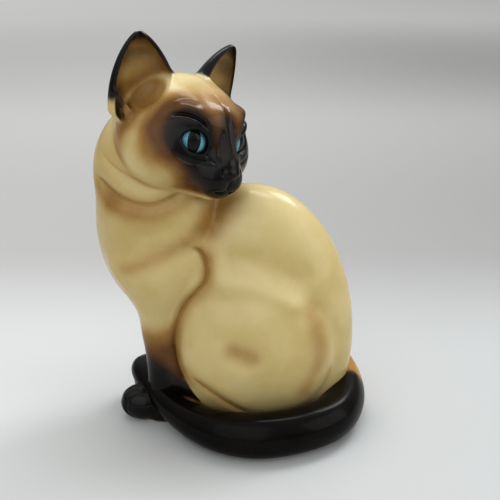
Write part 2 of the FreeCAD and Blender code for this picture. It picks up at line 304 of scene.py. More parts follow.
def ear_cup(m):
    """The hollow of the ear, as an open column that follows its section."""
    f, s, t = ear_plane(m)
    wide, deep, up = ear_section(t)
    return ellipse(f+EAR_BOW*up*(1-up)-deep*0.66, s, deep*1.28, np.maximum(wide-EAR_SKIN, 0.3))


def ear(m):
    """One ear; the factor at the end allows for the taper, which the flat section leaves out."""
    f, s, t = ear_plane(m)
    wide, deep, up = ear_section(t)
    outer = ellipse(f+EAR_BOW*up*(1-up)+1.0, s, deep, wide)
    d = blend_max(outer, -ear_cup(m), 1.8)
    return np.maximum(blend_max(d, (t-1)*EAR_HEIGHT+0.6, 2.0), -t*EAR_HEIGHT-EAR_FOOT)*0.8


def ear_root(m):
    """Where the cup runs on down into the side of the head."""
    return blend_max(ellipsoid(m, (-4, 36, 32.5), (13.5, 16.5, 19)), ear_cup(m), 3)


HEAD_REACH = ((-52, 56), (-50, 50), (-42, 66))      # back and front, the two sides, bottom and top


def head(P):
    q = to_head(P)
    m = mirrored(q)
    d = blend_min(skull(q, m), ear(m), 7.0)
    skin_fold = capsule(m, (-11.5, 44.5, 21), (-7.5, 36.5, 7), 2.2, 2.4)                # below the ear
    d = blend_min(d, skin_fold, 3.5)
    return blend_max(d, -ear_root(m), 4)


# ---------------------------------------------------------------- trunk and limbs
# foreleg stations: height, middle x, half length, middle y, half width
LEG = spline([(-4, -43, 12, 14.5, 10.5), (20, -42.2, 11.5, 14.5, 10.5), (42, -41.6, 11.9, 15, 11.5),
              (60, -43.6, 12.0, 15.5, 12.5), (78, -43.4, 14.8, 16.5, 15.3), (95, -44, 23.2, 18.5, 18.4),
              (110, -44.5, 29.5, 19, 19.4), (122, -43, 27.0, 18, 17.5), (136, -42, 18.0, 17, 12.0)], 10)
SHOULDER_HEIGHT = 134                     # where the foreleg rounds off into the chest
LEG_TOP = 86                              # where its skin is counted as the leg's
BODY_LO, BODY_HI = vec(-92, -72, -3), vec(96, 62, 200)


def foreleg(m):
    z = m[:, 2]
    cx, a, cy, b = (np.interp(z, LEG[:, 0], LEG[:, k]) for k in (1, 2, 3, 4))
    return blend_max(ellipse(m[:, 0]-cx, m[:, 1]-cy, a, b), z-SHOULDER_HEIGHT, 14)


# the crease between foreleg and thigh, and on down in front of the hind foot: x, z
CREASE = [(-23, 125.5), (-16, 120), (-12.5, 112), (-13, 103), (-19, 95), (-25.5, 87), (-30.5, 76),
          (-32.5, 62), (-31.5, 50), (-28.5, 40), (-21, 28)]


def trunk_relief(P):
    """Folds and grooves; those of the limbs are the same on both flanks, those of the turned neck are not."""
    x, y, z = P.T
    flank, near = ease(np.abs(y), 8, 20), ease(-y, 4, 16)
    r = fold(x, z, CREASE, 3.4, 5.5, 0.1, left=0.5, right=0.9)*flank                         # arm and thigh
    r += stroke(x, z, [(-62, 110), (-48, 114), (-36, 120), (-26, 127)], -1.0, 5.0, 0.4)*flank  # upper arm
    r += stroke(x, z, [(-10, 116), (4, 117), (20, 115), (40, 107), (54, 96)],
                -2.3, 7.5, 0.25)*flank                                                       # over the thigh
    r += stroke(x, z, [(-12, 100.5), (0, 101.5), (18, 100.5), (36, 94), (50, 84)],
                2.3, 6.2, 0.2)*flank                                                         # thigh top
    r += stroke(x, z, [(-15, 156), (-18, 145), (-22, 134), (-28, 126)], 1.3, 4.6, 0.3)*near  # shoulder ridge
    r += stroke(x, z, [(-2, 152), (-8, 143), (-11, 135)], -3.6, 9.0, 0)*near                 # behind it
    r += fold(x, z, [(-82, 167), (-70, 157.5), (-58, 153), (-46, 151.5), (-36, 154), (-24, 160)],
              3.2, 7.0, 0.15, left=1.2, right=0.3)*near                                      # neck fold
    r += fold(x, z, [(-80, 183), (-66, 172), (-52, 166), (-40, 165)],
              1.2, 7.0, 0.3, left=0.4)*near                                                  # ruff
    r += stroke(x, z, [(-62, 133), (-46, 134), (-34, 139), (-24, 147)], -1.4, 5.0, 0.35)*near  # second fold
    r += fold(x, z, [(-24, 43), (-10, 33), (3, 24), (15, 17)], 2.0, 5.0, 0.25, left=0.6)*flank  # hock
    r += stroke(x, z, [(-3, 66), (9, 61), (24, 52)], -2.0, 7.5, 0.45)*flank                  # thigh dimple
    r += stroke(x, z, [(54, 78), (57, 62), (54, 46), (44, 32)], -1.4, 7.0, 0.4)*flank        # rump crease
    return r


def trunk(P, m):
    d = ellipsoid(P, (13.5, 0, 55), (68.5, 43, 101))                    # rump and back
    d = blend_min(d, ellipsoid(P, (-43, 0, 133), (40.5, 34, 62)), 16)   # chest
    d = blend_min(d, ellipsoid(P, (-46, 2, 163), (38, 32, 46)), 6)      # neck
    d = blend_min(d, ellipsoid(m, (-41, 17, 139), (34, 21, 30)), 12)    # shoulder
    d = blend_min(d, ellipsoid(m, (17, 25, 54), (50, 27.6, 50)), 5)     # thigh
    return d-trunk_relief(P)


TOE_CLEFTS = (-6, 0, 6)                   # sideways from the middle of the paw
CLEFT_DEPTH = 2.0


def paw(P, centre, radii):
    """A rounded paw whose toes point forward and spread a little, parted by narrow clefts."""
    x, y, _ = P.T
    front = ease(centre[0]-x, 0, 7)
    clefts = sum(np.exp(-(y-centre[1]-at*(1+0.03*(centre[0]-x)))**2) for at in TOE_CLEFTS)
    return ellipsoid(P, centre, radii)+CLEFT_DEPTH*clefts*front


def near_paw(P):
    return paw(P, (-57, -14, 10.5), (15, 12.5, 12))


def far_paw(P):
    return paw(P, (-53, 15, 12.5), (14, 12, 14))


def hind_feet(m):
    return ellipsoid(m, (-19, 29, 9), (18, 11, 15))


def body(P):
    """Trunk, legs and feet, standing on the floor."""
    m = mirrored(P)
    d = blend_min(trunk(P, m), foreleg(m), 6)
    d = blend_min(d, np.minimum(near_paw(P), far_paw(P)), 3)
    d = blend_min(d, hind_feet(m), 3)
    d = blend_max(d, -P[:, 2], 1.2)
    recess = np.maximum(np.hypot(*(P[:, :2]-PLATE).T)-PLATE_RADIUS-PLATE_GAP, P[:, 2]-PLATE_HI[2]-PLATE_GAP)
    return np.maximum(d, -recess)


def whole(P):
    """Body and head as one skin."""
    return blend_min(body(P), head(P), 2.5)


# ---------------------------------------------------------------- meshing
BLOCK = 4                                 # cells along one side of a block
CHUNK = 300000                            # points sampled at a time
SAMPLE_REACH = 4.6                        # cells from a block's middle within which the surface may cross it
BAND = 3                                  # distances are kept up to this many cells


def in_chunks(field, P):
    return np.concatenate([field(P[i:i+CHUNK]) for i in range(0, len(P), CHUNK)])


def mesh_field(field, lo, hi, cell):
    """Points and quads of the surface where the field is zero, sampled only in the blocks near it."""
    blocks = np.ceil((np.asarray(hi, float)-lo)/(cell*BLOCK)).astype(int)
    corner = np.indices(blocks).reshape(3, -1).T
    centre = lo+(corner*BLOCK+(BLOCK-1)/2)*cell
    rough = in_chunks(field, centre)
    grid = np.repeat(np.sign(rough), BLOCK**3).reshape(-1, BLOCK, BLOCK, BLOCK)*BAND*cell
    near = np.where(np.abs(rough) < SAMPLE_REACH*cell)[0]
    offset = (np.indices((BLOCK,)*3).reshape(3, -1).T-(BLOCK-1)/2)*cell
    P = (centre[near][:, None]+offset).reshape(-1, 3)
    grid[near] = np.clip(in_chunks(field, P), -BAND*cell, BAND*cell).reshape(-1, BLOCK, BLOCK, BLOCK)
    grid = grid.reshape(*blocks, BLOCK, BLOCK, BLOCK).transpose(0, 3, 1, 4, 2, 5)
    grid = np.ascontiguousarray(grid.reshape(blocks*BLOCK), dtype=np.float32)
    level_set = openvdb.FloatGrid(BAND*cell)
    level_set.copyFromArray(grid)
    points, _, quads = level_set.convertToPolygons(isovalue=0.0, adaptivity=0.0)
    points = lo+points.astype(float)*cell
    return settle(field, points, 0.2*cell), quads.astype(np.int64)


def slopes(field, P, h):
    """The field's value and gradient, from differences over h on either side."""
    g = np.stack([in_chunks(field, P+h*e)-in_chunks(field, P-h*e) for e in np.eye(3)], 1)/(2*h)
    return in_chunks(field, P), g


def settle(field, P, h):
    """The points moved onto the field's surface, by two Newton steps of at most 4h along each axis."""
    for _ in range(2):
        d, g = slopes(field, P, h)
        step = d[:, None]*g/np.maximum((g*g).sum(1), 0.15)[:, None]
        P = P-np.clip(step, -4*h, 4*h)
    return P


def clip(points, quads, label):
    """The part of a mesh where label is negative, cut along its zero line, as points and faces."""
    below = label < 0
    count = below[quads].sum(1)
    whole_quads = quads[count == 4]
    cut = quads[(count > 0) & (count < 4)]
    tris = np.vstack([cut[:, [0, 1, 2]], cut[:, [0, 2, 3]]])
    tally = below[tris].sum(1)
    whole_tris = tris[tally == 3]
    new_points, edges = [points], {}

    def crossing(a, b):
        key = (min(a, b), max(a, b))
        if key not in edges:
            edges[key] = len(points)+len(edges)
            t = label[key[0]]/(label[key[0]]-label[key[1]])
            new_points.append((points[key[0]]*(1-t)+points[key[1]]*t)[None])
        return edges[key]

    small, large = [], []
    for tri in tris[(tally == 1) | (tally == 2)]:
        odd = int(np.where(below[tri] == (below[tri].sum() == 1))[0][0])
        a, b, c = (int(tri[(odd+i) % 3]) for i in range(3))
        if below[a]:
            small.append((a, crossing(a, b), crossing(a, c)))
        else:
            large.append((crossing(a, b), b, c, crossing(a, c)))
    faces = [tuple(f) for group in (whole_quads, whole_tris) for f in group.tolist()]+small+large
    points = np.vstack(new_points)
    used = np.unique(np.concatenate([np.asarray(f) for f in faces]))
    place = np.full(len(points), -1)
    place[used] = np.arange(len(used))
    return points[used], [tuple(place[list(f)]) for f in faces]


def rims(faces):
    """The open edges of a mesh as closed loops of vertices."""
    follow, seen = {}, set()
    for f in faces:
        for a, b in zip(f, f[1:]+f[:1]):
            seen.add((a, b))
    for a, b in seen:
        if (b, a) not in seen:
            follow[b] = a
    loops = []
    while follow:
        start, b = follow.popitem()
        loop = [start]
        while b != start and b in follow:
            loop.append(b)
            b = follow.pop(b)
        loops.append(loop)
    return loops


WALL_DEPTH = 2.5


def close_inside(points, faces, normals):
    """Shuts each open rim with a wall that goes inwards and a cap on it, out of sight inside the clay."""
    points, faces, normals = [points], list(faces), [normals]
    total = len(points[0])
    for loop in rims(faces):
        if len(loop) < 3:
            continue
        rim = points[0][loop]
        inner = rim-WALL_DEPTH*normals[0][loop]
        middle = inner.mean(0)
        n = len(loop)
        for i in range(n):
            j = (i+1) % n
            faces.append((loop[i], loop[j], total+j, total+i))
            faces.append((total+i, total+j, total+n))
        points += [inner, middle[None]]
        normals += [unit_rows(middle-rim), -normals[0][loop].mean(0)[None]]
        total += n+1
    return np.vstack(points), faces, np.vstack(normals)


def unit_rows(v):
    return v/np.maximum(np.linalg.norm(v, axis=1), 1e-9)[:, None]


# ---------------------------------------------------------------- pieces
def make_piece(name, nodes, points, faces, material, normals=None, paint=None):
    """A Blender object from points in the cat's millimetres, standing for its CAD nodes."""
    mesh = bpy.data.meshes.new(name)
    mesh.from_pydata(((points+SHIFT)*MM).tolist(), [], [tuple(int(i) for i in f) for f in faces])
    mesh.polygons.foreach_set("use_smooth", [True]*len(mesh.polygons))
    for key, values in (paint or {}).items():
        mesh.attributes.new(key, "FLOAT", "POINT").data.foreach_set("value", np.asarray(values, np.float32))
    if normals is not None:
        mesh.normals_split_custom_set_from_vertices(normals.tolist())
    mesh.materials.append(material)
    piece = bpy.data.objects.new(name, mesh)
    bpy.context.scene.collection.objects.link(piece)
    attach(piece, "root")
    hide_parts(*nodes)
    return piece


# ---------------------------------------------------------------- paint, as amounts at each point
def hollows(field, P, h):
    """How sharply the surface is dished at each point, per millimetre; ridges are negative."""
    around = sum(in_chunks(field, P+h*e)+in_chunks(field, P-h*e) for e in np.eye(3))
    return -(around-6*in_chunks(field, P))/(h*h)


def unglazed(P):
    """The foot, where the glaze was wiped off."""
    return 1-ease(P[:, 2], 0.5, 1.5)


def face_paint(m):
    """The seal-brown mask, blackest round the mouth and lids, and the head's tan sides: brown and dark."""
    u, v, w = m.T
    a, b, _ = eye_plane(m)
    front = ease(u, 0, 14)
    face = np.stack([v, w], 1)
    mask = blend_min(ellipse(a+2.0, b-3.5, 17, 16.5), capsule(face, (21, 0), (6, -18), 13, 13), 6)
    mask = blend_min(mask, ellipse(v, w-1, 9.5, 20), 10)
    brown = 0.74*(1-ease(mask, -3, 8))+0.26*(1-ease(mask, 2, 17))
    deep = np.minimum(capsule(face, (13, -9), (3, -20), 4, 9), ellipse(a, b, 10.5, 9.5))
    dark = 0.80*(1-ease(mask, -8, 3))+0.25*(1-ease(deep, -2, 5))
    chin = ease(-w, 26, 31)*(1-ease(u, 35, 40))
    side = 0.42*(1-ease(capsule(m, (-10, 32, 8), (12, 24, 12), 4, 8), -2, 13))          # temple
    side += 0.34*(1-ease(capsule(m, (10, 34, -2), (14, 32, -8), 3, 3), 0, 14))          # cheek
    side += 0.46*(1-ease(capsule(m, (-12, 38, 4), (-13, 33, -14), 3, 3), 0, 14))        # below the ear
    side += 0.16*(1-ease(np.linalg.norm(m-(16, 6, 28), axis=1), 6, 20))                 # forehead
    return brown*front*(1-0.8*chin)+side, dark*front*(1-chin)


def ear_paint(m):
    """Black rims and tips, brown inside, black fading to cream behind: brown and dark."""
    _, s, t = ear_plane(m)
    wide = ear_section(t)[0]
    inside = 1-ease(ear_cup(m), 0.2, 1.4)
    edge = ease(np.abs(s)-wide, -4.5, -1.0)*ease(t, 0.05, 0.3)
    behind = ease(t+0.006*np.abs(s), 0.35, 0.75)*(1-inside)
    dark = np.maximum(np.maximum(edge, behind), ease(t, 0.75, 0.97)*0.8)
    shade = 0.12*ease(np.abs(s)/wide, 0.35, 0.9)+0.16*ease(t, 0.35, 0.85)
    outer = 0.34*ease(s/wide, 0.3, 0.8)
    return inside*(0.58+shade), np.maximum(dark, inside*(0.12+shade+outer))


NO_LID = 20.0                             # stands for lid_opening where no eye is near


def head_paint(P):
    """Face and ears run into each other round the ears' roots."""
    q = to_head(P)
    m = mirrored(q)
    a, b, c = eye_plane(m)
    brown, dark = face_paint(m)
    ear_brown, ear_dark = ear_paint(m)
    ears = 1-ease(ear(m)-skull(q, m), -5, 2)
    root = blend_max(ellipsoid(m, (-5, 38, 36), (14.5, 18, 24)), ear_cup(m), 3)
    # painted shade: a narrow brown line along the fold at the rim of each ear's root
    root_fold_shade = np.exp(-((root-1)/2.0)**2)*(1-ease(m[:, 1], 34, 42))
    brown = np.maximum(brown, 0.56*(1-ease(root, -1.0, 3.0)))+0.16*root_fold_shade
    return dict(brown=np.clip(brown+(ear_brown-brown)*ears, 0, 1),
                dark=np.clip(dark+(ear_dark-dark)*ears, 0, 1),
                lid=np.where(c > 0, lid_opening(a, b), NO_LID))


def airbrush_and_shade(u, v, points, amount, width):
    return np.clip(stroke(u, v, points, amount, width, 0), 0, 1)


def body_paint(P):
    """Airbrushed folds and the dark stockings, with painted shade as well as brown in the hollow behind the
    arm.
    """
    x, y, z = P.T
    flank, near = ease(np.abs(y), 6, 18), ease(-y, 2, 14)
    sprays_and_shade = [([(-62, 111), (-48, 116), (-36, 121), (-26, 127)], 0.27, 6.5, flank),      # upper arm
              ([(-11, 116), (-14, 99), (-25, 88), (-31, 72), (-33, 55)], 0.34, 6.5, flank),  # arm and thigh
              ([(4, 63.5), (15, 59.5)], 0.36, 7.5, flank),                               # thigh dimple
              ([(52, 84), (57, 66), (56, 50), (48, 34)], 0.33, 8.0, flank),              # rump crease
              ([(-26, 45), (-10, 33), (3, 24), (18, 16)], 0.3, 7.0, flank),              # hock
              ([(-66, 150), (-50, 146), (-36, 148), (-24, 154)], 0.27, 7.0, near),       # neck fold
              ([(-84, 160), (-72, 153)], 0.22, 7.0, near),                               # front of the neck
              # behind the arm the brown is partly airbrush and partly painted shade in the hollow under the
              # head
              ([(4, 160), (-5, 147), (-12, 135)], 0.5, 11.0, near)]                      # behind the arm
    brown = 0.17*ease(-x, 14, 56)*ease(z, 96, 150)                                       # chest
    for points, amount, width, where in sprays_and_shade:
        brown += airbrush_and_shade(x, z, points, amount, width)*where
    crease = spline(CREASE[4:]+[(-14, 18), (-8, 0)], 4)[::-1]
    leg = 1-ease(x-np.interp(z, crease[:, 1], crease[:, 0]), -2.0, 0.5)
    brown = np.clip(brown, 0, 0.9)+leg*(1-ease(z, 44, 82))
    hind = 1-ease(hind_feet(mirrored(P)), 0, 3)
    dark = leg*(1-ease(z+0.5*(x+43), 30, 56))*(1-hind)
    return dict(brown=np.clip(np.maximum(brown, 0.85*hind), 0, 1), dark=np.clip(dark, 0, 1),
                lid=np.full(len(P), NO_LID))


# ---------------------------------------------------------------- materials
CREAM, CREAM_PALE, HONEY = (0.55, 0.43, 0.18, 1), (0.61, 0.49, 0.235, 1), (0.38, 0.22, 0.062, 1)
UMBER, SEAL, SABLE = (0.125, 0.050, 0.012, 1), (0.0125, 0.0072, 0.0050, 1), (0.0032, 0.0024, 0.0020, 1)
CLAY = (0.62, 0.50, 0.38, 1)


class Nodes:
    """Builds one material's node tree."""

    def __init__(self, name):
        self.material = bpy.data.materials.new(name)
        self.material.use_nodes = True
        self.tree = self.material.node_tree
        self.shader = self.tree.nodes["Principled BSDF"]

    def add(self, kind, **values):
        node = self.tree.nodes.new(kind)
        for key, value in values.items():
            setattr(node, key, value)
        return node

    def link(self, value, socket):
        if isinstance(value, bpy.types.NodeSocket):
            self.tree.links.new(value, socket)
        else:
            socket.default_value = value

    def math(self, operation, a, b=0.0, c=0.0):
        node = self.add("ShaderNodeMath", operation=operation)
        for value, socket in zip((a, b, c), node.inputs):
            self.link(value, socket)
        return node.outputs[0]

    def mix(self, amount, a, b):
        node = self.add("ShaderNodeMix", data_type="RGBA")
        for value, socket in zip((amount, a, b), (node.inputs[0], node.inputs[6], node.inputs[7])):
            self.link(value, socket)
        return node.outputs[2]

    def step(self, value, lo, hi):
        """Smooth step of a value from 0 at lo to 1 at hi."""
        node = self.add("ShaderNodeMapRange", interpolation_type="SMOOTHSTEP")
        for given, name in zip((value, lo, hi), ("Value", "From Min", "From Max")):
            self.link(given, node.inputs[name])
        return node.outputs[0]

    def amount(self, name):
        return self.add("ShaderNodeAttribute", attribute_name=name).outputs["Fac"]

    def noise(self, scale, detail=3.0, roughness=0.55):
        """Noise over the object, scale in features per metre."""
        node = self.add("ShaderNodeTexNoise")
        self.link(self.add("ShaderNodeTexCoord").outputs["Object"], node.inputs["Vector"])
        for name, value in (("Scale", scale), ("Detail", detail), ("Roughness", roughness)):
            node.inputs[name].default_value = value
        return node.outputs["Fac"]

    def bump(self, height, distance, strength=1.0):
        node = self.add("ShaderNodeBump")
        node.inputs["Strength"].default_value = strength
        node.inputs["Distance"].default_value = distance
        self.link(height, node.inputs["Height"])
        self.link(node.outputs[0], self.shader.inputs["Normal"])

    def gloss(self, roughness, coat=0.1, coat_roughness=0.05, specular=0.2):
        s = self.shader.inputs
        self.link(roughness, s["Roughness"])
        s["Coat Weight"].default_value = coat
        s["Coat Roughness"].default_value = coat_roughness
        s["Specular IOR Level"].default_value = specular


def glaze():
    """Straw glaze over white clay, with airbrushed brown and black and a bare foot, driven by the paint."""
    n = Nodes("painted_glaze")
    mottle = n.step(n.noise(34, 4), 0.35, 0.65)
    fine = n.noise(900, 2)
    cream = n.mix(mottle, CREAM, CREAM_PALE)
    # painted light: the cream turns paler where the surface faces upwards
    facing = n.add("ShaderNodeSeparateXYZ")
    n.link(n.add("ShaderNodeNewGeometry").outputs["Normal"], facing.inputs[0])
    painted_top_light = n.math("MULTIPLY", n.step(facing.outputs["Z"], -0.1, 0.9), 0.45)
    cream = n.mix(painted_top_light, cream, (0.64, 0.57, 0.35, 1))
    # glaze pooled in hollows and painted shade in the folds: the cream turns to honey where the surface is
    # dished
    cream = n.mix(n.math("MULTIPLY", n.amount("pool_and_shade"), 0.75), cream, HONEY)
    grain = n.math("MULTIPLY", n.math("SUBTRACT", fine, 0.5), 0.22)
    drift = n.math("MULTIPLY", n.math("SUBTRACT", n.noise(120, 4), 0.5), 0.3)
    loose = n.math("ADD", grain, drift)
    brown = n.math("MULTIPLY", n.amount("brown"), n.math("ADD", loose, 1.0))
    warm = n.mix(n.step(brown, 0.02, 0.55), cream, HONEY)
    warm = n.mix(n.step(brown, 0.25, 1.05), warm, UMBER)
    dark = n.math("MULTIPLY", n.amount("dark"), n.math("ADD", loose, 1.0))
    painted = n.mix(n.step(dark, 0.02, 0.7), warm, SEAL)
    painted = n.mix(n.step(dark, 0.65, 1.0), painted, SABLE)
    line = n.math("SUBTRACT", 1.0, n.step(n.amount("lid"), 1.0, 1.9))
    painted = n.mix(line, painted, (0.004, 0.004, 0.004, 1))
    n.link(n.mix(n.amount("bare"), painted, CLAY), n.shader.inputs["Base Color"])
    n.gloss(n.math("ADD", 0.22, n.math("MULTIPLY", n.amount("bare"), 0.6)))
    n.bump(n.math("ADD", n.noise(260, 2), n.math("MULTIPLY", fine, 0.12)), 0.00012, 0.5)
    return n.material


def black_glaze():
    """Near-black glaze that gives way to brown where the tail leaves the rump."""
    n = Nodes("black_glaze")
    cloud = n.step(n.noise(60, 3), 0.3, 0.7)
    coat = n.mix(cloud, (0.0016, 0.0012, 0.0010, 1), (0.005, 0.0034, 0.0026, 1))
    root = n.math("ADD", n.amount("brown"), n.math("MULTIPLY", n.math("SUBTRACT", n.noise(300, 3), 0.5), 0.3))
    coat = n.mix(n.step(root, 0.3, 0.7), coat, HONEY)
    n.link(n.mix(n.amount("bare"), coat, CLAY), n.shader.inputs["Base Color"])
    n.gloss(n.math("ADD", 0.26, n.math("MULTIPLY", n.amount("bare"), 0.5)), coat=0.06, specular=0.08)
    n.bump(n.noise(220, 2), 0.00012, 0.5)
    return n.material


def eye_enamel():
    """Turquoise iris, darker round its edge, with an upright oval pupil and a black outline."""
    n = Nodes("eye_enamel")
    across, up = n.amount("across"), n.amount("up")
    pupil_across = n.math("DIVIDE", n.math("SUBTRACT", across, 1.6), 3.9)
    pupil_up = n.math("DIVIDE", n.math("ADD", up, 0.4), 7.4)
    squares = n.math("ADD", n.math("POWER", pupil_across, 2.0), n.math("POWER", pupil_up, 2.0))
    pupil = n.math("SQRT", squares)
    # painted shade and light: the iris darker towards the top and the outer corner, lighter low towards the
    # nose
    shade = n.step(n.math("ADD", up, n.math("MULTIPLY", across, -0.5)), -8.0, 8.0)
    iris = n.mix(shade, (0.17, 0.44, 0.46, 1), (0.07, 0.27, 0.35, 1))
    streak = n.step(n.noise(700, 3), 0.3, 0.7)
    iris = n.mix(n.math("MULTIPLY", streak, 0.35), iris, (0.20, 0.48, 0.50, 1))
    iris = n.mix(n.math("MULTIPLY", n.step(n.amount("lid"), -3.6, -0.9), 0.7), iris, (0.02, 0.11, 0.16, 1))
    black = n.math("SUBTRACT", 1.0, n.step(pupil, 0.96, 1.04))
    black = n.math("MAXIMUM", black, n.step(n.amount("lid"), -1.25, -0.75))
    n.link(n.mix(black, iris, (0.006, 0.006, 0.007, 1)), n.shader.inputs["Base Color"])
    n.gloss(0.08, coat=0.08, coat_roughness=0.02, specular=0.18)
    return n.material


def bare_clay():
    """Unglazed white clay, a little stained."""
    n = Nodes("bare_clay")
    stain = n.step(n.noise(90, 4), 0.35, 0.75)
    n.link(n.mix(stain, CLAY, (0.46, 0.35, 0.25, 1)), n.shader.inputs["Base Color"])
    n.gloss(0.85, coat=0.0, specular=0.3)
    n.bump(n.noise(1500, 3), 0.0002, 0.6)
    return n.material


# ---------------------------------------------------------------- body, legs, feet, head and ears
NORMAL_STEP = 0.35                        # reach of the slopes that give the shading
BODY_SPREAD, HEAD_SPREAD = 2.2, 1.2       # reach over which a hollow is felt when the glaze pools and painted shade darkens it


def skin(node, label, mesh, paint, material, spread):
    """One glazed piece: the part of the whole skin's mesh where label is negative, painted."""
    points, quads = mesh
    points, faces = clip(points, quads, in_chunks(label, points))
    _, normals = slopes(whole, points, NORMAL_STEP)
    normals = unit_rows(normals)
    # darker in hollows: partly glaze pooled there, partly painted shade
    pool_and_shade = np.clip(hollows(whole, points, spread)*spread*0.9-0.04, 0, 1)
    points, faces, normals = close_inside(points, faces, normals)
    values = paint(points)
    values["pool_and_shade"] = np.concatenate([pool_and_shade, np.zeros(len(points)-len(pool_and_shade))])
    values["bare"] = unglazed(points)
    return make_piece(node, [node], points, faces, material, normals, values)


def legs_label(P):
    """Negative on the forelegs and their paws, below the shoulder."""
    m = mirrored(P)
    limb = np.minimum(foreleg(m), np.minimum(near_paw(P), far_paw(P)))
    return np.maximum(limb-np.minimum(trunk(P, m), hind_feet(m)), P[:, 2]-LEG_TOP)


def hind_label(P):
    """Negative on the hind feet."""
    m = mirrored(P)
    return hind_feet(m)-np.minimum(trunk(P, m), foreleg(m))


def body_side(P):
    """Negative where the skin belongs to the body rather than the head."""
    return body(P)-head(P)


def ear_side(P):
    """Negative where the skin belongs to an ear rather than the skull."""
    q = to_head(P)
    m = mirrored(q)
    return ear(m)-skull(q, m)


def left(P):
    """How far to the left of the head's middle."""
    return to_head(P)[:, 1]


def build_skin(material):
    mesh = mesh_field(whole, BODY_LO, BODY_HI, BODY_CELL)
    parts = dict(
        body_shell=(lambda P: np.maximum(body_side(P), -np.minimum(legs_label(P), hind_label(P))),
                    "cream_glaze"),
        left_foreleg=(lambda P: np.maximum(legs_label(P), P[:, 1]), "leg_glaze"),
        right_foreleg=(lambda P: np.maximum(legs_label(P), -P[:, 1]), "leg_glaze"),
        left_hind_foot=(lambda P: np.maximum(hind_label(P), P[:, 1]), "leg_glaze"),
        right_hind_foot=(lambda P: np.maximum(hind_label(P), -P[:, 1]), "leg_glaze"))
    for node, (label, slot) in parts.items():
        skin(node, label, mesh, body_paint, material, BODY_SPREAD)
    corners = HEAD+np.array([[u, v, w] for u in HEAD_REACH[0] for v in HEAD_REACH[1]
                             for w in HEAD_REACH[2]])@HEAD_AXES
    mesh = mesh_field(whole, corners.min(0), corners.max(0), HEAD_CELL)
    skin("head_shell", lambda P: np.maximum(-body_side(P), -ear_side(P)), mesh, head_paint,
         material, HEAD_SPREAD)
    for node, side in (("left_ear", -1), ("right_ear", 1)):
        skin(node, lambda P: np.maximum(np.maximum(ear_side(P), -body_side(P)), side*left(P)), mesh,
             head_paint, material, HEAD_SPREAD)


# ---------------------------------------------------------------- eyes
def build_eye(node, side, material):
    """A domed cap of enamel that fills the opening between the lids; side is 1 for the cat's left."""
    rings, turns = 44, 96
    reach = np.radians(74)                # from the eye's axis to the cap's edge
    points, faces = [EYE_C+EYE_AXIS*EYE_R], []
    for r in range(1, rings+1):
        tilt = reach*r/rings
        for k in range(turns):
            turn = 2*np.pi*k/turns
            out = EYE_NOSE*np.cos(turn)+EYE_UP*np.sin(turn)
            points.append(EYE_C+EYE_R*(EYE_AXIS*np.cos(tilt)+out*np.sin(tilt)))
    points.append(EYE_C)
    for k in range(turns):
        j = (k+1) % turns
        faces.append((0, 1+j, 1+k))
        for r in range(rings-1):
            a = 1+r*turns
            faces.append((a+k, a+j, a+turns+j, a+turns+k))
        last = 1+(rings-1)*turns
        faces.append((last+k, last+j, len(points)-1))
    points = np.array(points)
    across, up, _ = eye_plane(points)
    normals = unit_rows(points-EYE_C+1e-6)
    if side < 0:
        points, normals = points*(1, -1, 1), normals*(1, -1, 1)
        faces = [f[::-1] for f in faces]
    return make_piece(node, [node], HEAD+points@HEAD_AXES, faces, material, normals@HEAD_AXES,
                      dict(across=across, up=up, lid=lid_opening(across, up)))


# ---------------------------------------------------------------- tail
# stations along the tail: x, y, z, radius
TAIL = [(66, 26, 26, 15), (75, 8, 16, 15.3), (75, -18, 14, 14.5), (66, -40, 13.4, 14), (48, -54, 13.4, 14),
        (22, -62, 13.4, 14), (0, -58.5, 12.9, 13), (-18, -47, 12.6, 11.5), (-34, -31, 14, 9.5),
        (-47, -15, 18.5, 8.5), (-57, -2, 23, 7.5), (-61, 9, 24, 6.5), (-59, 20, 22.5, 5.5)]


def build_tail(material):
    """A tapering tube along the stations, flat underneath, with rounded ends."""
    turns = 72
    path = spline(TAIL, 14)
    centre, radius = path[:, :3], path[:, 3]
    along = unit_rows(np.gradient(centre, axis=0))
    side = unit_rows(np.cross(along, vec(0, 0, 1)))
    up = np.cross(side, along)
    caps = [(np.sin(t), np.cos(t)) for t in np.radians([15, 30, 45, 60, 72, 82])]
    rows = [(centre[0]-along[0]*radius[0]*s, radius[0]*c, 0) for s, c in caps[::-1]]
    rows += [(centre[i], radius[i], i) for i in range(len(path))]
    rows += [(centre[-1]+along[-1]*radius[-1]*s, radius[-1]*c, len(path)-1) for s, c in caps]
    angle = 2*np.pi*np.arange(turns)/turns
    edge = 1+0.05*np.exp(-((angle-np.radians(118))/0.3)**2)      # a soft ridge along the outer shoulder
    points = np.array([at+r*(np.outer(edge*np.cos(angle), side[i])+np.outer(edge*np.sin(angle), up[i]))
                       for at, r, i in rows]).reshape(-1, 3)
    n = len(rows)
    faces = [(i*turns+k, i*turns+(k+1) % turns, (i+1)*turns+(k+1) % turns, (i+1)*turns+k)
             for i in range(n-1) for k in range(turns)]
    faces += [tuple(range(turns))[::-1], tuple(range((n-1)*turns, n*turns))]
    points[:, 2] = np.maximum(points[:, 2], 0)
    place = np.repeat(np.arange(n)/n, turns)
    return make_piece("tail", ["tail"], points, faces, material,
                      paint=dict(brown=1-ease(place, 0.1, 0.2), bare=unglazed(points)))


